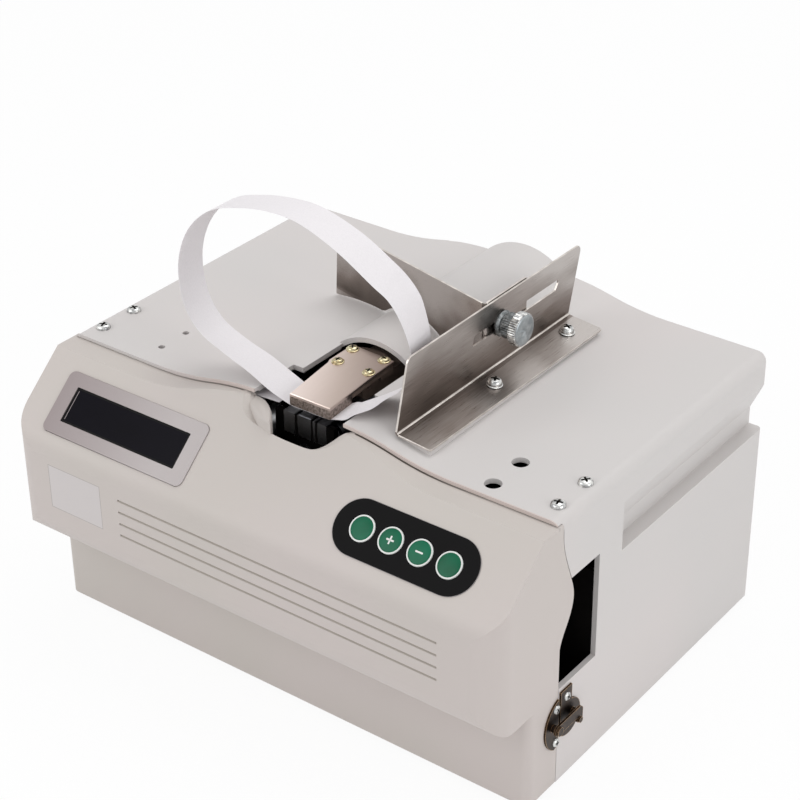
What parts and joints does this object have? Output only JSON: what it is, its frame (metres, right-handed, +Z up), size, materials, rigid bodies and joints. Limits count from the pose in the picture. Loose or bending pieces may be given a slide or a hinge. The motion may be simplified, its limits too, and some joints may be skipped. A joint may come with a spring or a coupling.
{
  "type": "banknote strapping machine",
  "caption": "Desktop machine that straps note stacks with paper tape: sloped panel with display and keys, tongue in a deck opening, standing tape loop, sheet guides, side latch.",
  "frame": {"origin": "middle of the footprint, on the table under the rubber feet", "axes": "+X to the operator's right, +Y away from the operator to the rear wall, +Z up"},
  "size_m": [0.3424, 0.267, 0.2834],
  "materials": {
    "housing_plastic": "fine-textured moulded plastic, warm light grey",
    "cover_plastic": "fine-textured moulded plastic, warm light grey",
    "bezel_silver": "silver-grey satin film",
    "display_black": "near-black gloss window",
    "panel_black": "black membrane panel",
    "key_green": "green key cap with a white ring",
    "board_green": "solder-masked circuit board",
    "stainless": "brushed stainless sheet",
    "tongue_nickel": "ground, satin nickel-plated steel",
    "zinc_plated": "bright blue zinc plating",
    "yellow_zinc": "yellow-passivated zinc plating",
    "antique_brass": "dark antique-brass plating",
    "hinge_steel": "nickel-plated steel",
    "frame_black": "black powder coat",
    "frame_steel": "bare machined steel",
    "tool_steel": "ground hardened steel",
    "bare_aluminium": "machined aluminium",
    "rubber_black": "moulded rubber",
    "roller_rubber": "ground rubber roller face",
    "paper_white": "white heat-sealing paper tape",
    "reel_plastic": "black moulded plastic",
    "motor_paint": "dark painted motor case",
    "transformer_iron": "varnished laminated core",
    "inlet_plastic": "black moulded plastic",
    "rocker_black": "glossy black rocker"
  },
  "bodies": {
    "housing": {"main_housing": "housing_plastic", "base_plate": "frame_steel", "rubber_feet": "rubber_black", "hinge_fixed_leaves": "hinge_steel", "hinge_pins": "hinge_steel", "latch_keeper": "antique_brass", "latch_keeper_screw": "antique_brass", "side_guide": "stainless", "side_guide_screws": "zinc_plated", "deck_screws": "zinc_plated", "anvil_plate": "tongue_nickel", "anvil_arm": "tongue_nickel", "anvil_screws": "yellow_zinc", "head_bed": "frame_black", "head_side_plates": "frame_steel", "rear_bearing_block": "bare_aluminium", "mechanism_plate": "frame_black", "motor_bracket": "frame_steel", "gear_motor": "motor_paint", "feed_motor": "motor_paint", "reel_spindle": "frame_steel", "reel_retainer": "rubber_black", "paper_tape_feed": "paper_white", "paper_tape_loop": "paper_white", "power_board": "board_green", "transformer": "transformer_iron", "power_inlet": "inlet_plastic", "switch_frame": "inlet_plastic"},
    "cover": {"front_cover": "cover_plastic", "display_bezel": "bezel_silver", "display_window": "display_black", "display_module": "board_green", "keypad_panel": "panel_black", "keypad_board": "board_green", "hinge_cover_leaves": "hinge_steel", "latch_plate": "antique_brass", "latch_plate_screws": "antique_brass"},
    "latch": {"latch_lever": "antique_brass"},
    "function_key": {"key_function": "key_green"},
    "plus_key": {"key_plus": "key_green"},
    "minus_key": {"key_minus": "key_green"},
    "reset_key": {"key_reset": "key_green"},
    "rear_guide": {"back_guide": "stainless", "thumb_screw_nut": "zinc_plated", "thumb_screw_washer": "zinc_plated"},
    "clamp_screw": {"thumb_screw": "zinc_plated"},
    "cams": {"camshaft": "tool_steel"},
    "gripper_left": {"left_gripper": "tool_steel"},
    "press": {"heat_press": "tool_steel"},
    "cutter": {"cutter_blade": "tool_steel"},
    "gripper_right": {"right_gripper": "tool_steel"},
    "drive_roller": {"feed_roller": "roller_rubber"},
    "idle_roller": {"pinch_roller": "frame_steel"},
    "motor_pinion": {"feed_pinion": "frame_steel"},
    "reel": {"reel_flanges": "reel_plastic", "tape_roll": "paper_white"},
    "rocker": {"switch_rocker": "rocker_black"}
  },
  "joints": [
    {"name": "front_cover_swing", "type": "hinge", "parent": "housing", "child": "cover", "pos_m": [-0.1682, -0.0752, 0.085], "axis": [0, 0, -1], "range_deg": [0, 100]},
    {"name": "latch_turn", "type": "hinge", "parent": "cover", "child": "latch", "pos_m": [0.169, -0.081, 0.044], "axis": [1, 0, 0], "range_deg": [0, 90]},
    {"name": "function_key_press", "type": "slide", "parent": "cover", "child": "function_key", "axis": [0, 0.6607, -0.7507], "range_m": [0, 0.0006], "stiffness_N_per_m": 1500, "springref_m": -0.0005},
    {"name": "plus_key_press", "type": "slide", "parent": "cover", "child": "plus_key", "axis": [0, 0.6607, -0.7507], "range_m": [0, 0.0006], "stiffness_N_per_m": 1500, "springref_m": -0.0005},
    {"name": "minus_key_press", "type": "slide", "parent": "cover", "child": "minus_key", "axis": [0, 0.6607, -0.7507], "range_m": [0, 0.0006], "stiffness_N_per_m": 1500, "springref_m": -0.0005},
    {"name": "reset_key_press", "type": "slide", "parent": "cover", "child": "reset_key", "axis": [0, 0.6607, -0.7507], "range_m": [0, 0.0006], "stiffness_N_per_m": 1500, "springref_m": -0.0005},
    {"name": "rear_guide_slide", "type": "slide", "parent": "housing", "child": "rear_guide", "axis": [0, 1, 0], "range_m": [-0.022, 0.048]},
    {"name": "clamp_screw_turn", "type": "hinge", "parent": "rear_guide", "child": "clamp_screw", "pos_m": [0.065, 0.024, 0.202], "axis": [1, 0, 0], "range_deg": [0, 360]},
    {"name": "camshaft_turn", "type": "hinge", "parent": "housing", "child": "cams", "pos_m": [0, -0.02, 0.149], "axis": [0, -1, 0], "range_deg": [0, 150]},
    {"name": "left_gripper_lift", "type": "slide", "parent": "housing", "child": "gripper_left", "axis": [0, 0, 1], "range_m": [0, 0.00401]},
    {"name": "heat_press_lift", "type": "slide", "parent": "housing", "child": "press", "axis": [0, 0, 1], "range_m": [0, 0.00381]},
    {"name": "cutter_lift", "type": "slide", "parent": "housing", "child": "cutter", "axis": [0, 0, 1], "range_m": [0, 0.00421]},
    {"name": "right_gripper_lift", "type": "slide", "parent": "housing", "child": "gripper_right", "axis": [0, 0, 1], "range_m": [0, 0.00401]},
    {"name": "feed_roller_turn", "type": "hinge", "parent": "housing", "child": "drive_roller", "pos_m": [-0.057, -0.06, 0.146], "axis": [0, 1, 0], "continuous": true},
    {"name": "pinch_roller_turn", "type": "hinge", "parent": "housing", "child": "idle_roller", "pos_m": [-0.035, -0.06, 0.146], "axis": [0, 1, 0], "continuous": true},
    {"name": "feed_pinion_turn", "type": "hinge", "parent": "housing", "child": "motor_pinion", "pos_m": [-0.057, -0.045, 0.1235], "axis": [0, 1, 0], "continuous": true},
    {"name": "tape_reel_turn", "type": "hinge", "parent": "housing", "child": "reel", "pos_m": [0.095, -0.065, 0.072], "axis": [0, 1, 0], "continuous": true},
    {"name": "switch_rock", "type": "hinge", "parent": "housing", "child": "rocker", "pos_m": [-0.086, 0.1283, 0.044], "axis": [1, 0, 0], "range_deg": [0, 14]}
  ],
  "couplings": [
    {"joint": "left_gripper_lift", "follows": "camshaft_turn", "m_per_rad": 0.0015279},
    {"joint": "heat_press_lift", "follows": "camshaft_turn", "m_per_rad": 0.0014515},
    {"joint": "cutter_lift", "follows": "camshaft_turn", "m_per_rad": 0.0016043},
    {"joint": "right_gripper_lift", "follows": "camshaft_turn", "m_per_rad": 0.0015279},
    {"joint": "pinch_roller_turn", "follows": "feed_roller_turn", "ratio": -1.25},
    {"joint": "feed_pinion_turn", "follows": "feed_roller_turn", "ratio": -2},
    {"joint": "tape_reel_turn", "follows": "feed_roller_turn", "ratio": -0.25}
  ]
}
